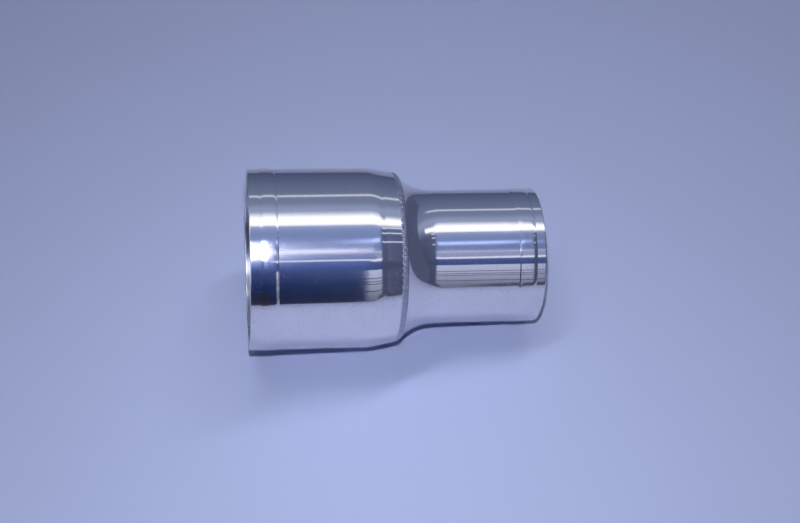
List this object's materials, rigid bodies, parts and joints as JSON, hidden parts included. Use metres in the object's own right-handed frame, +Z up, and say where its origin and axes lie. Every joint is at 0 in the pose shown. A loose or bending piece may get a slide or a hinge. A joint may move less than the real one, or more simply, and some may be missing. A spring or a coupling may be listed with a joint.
{
  "type": "welded tube reducer",
  "caption": "Polished stainless tube reducer: a large cylinder with a rounded shoulder, girth-welded to a belled small tube on the same axis.",
  "frame": {"origin": "centre of the large end's mouth, on the common axis", "axes": "+X along the axis towards the small end; +Z up with the fitting lying on its side; the shape is round, so +Y and +Z are alike"},
  "size_m": [0.122, 0.0768, 0.0768],
  "materials": {
    "polished_steel": "mirror polish with faint marks around the tube, stainless steel",
    "weld_metal": "as-welded rippled bead, lightly buffed"
  },
  "bodies": {
    "root": {"large_end_shell": "polished_steel", "small_end_shell": "polished_steel", "girth_weld": "weld_metal"}
  },
  "joints": []
}
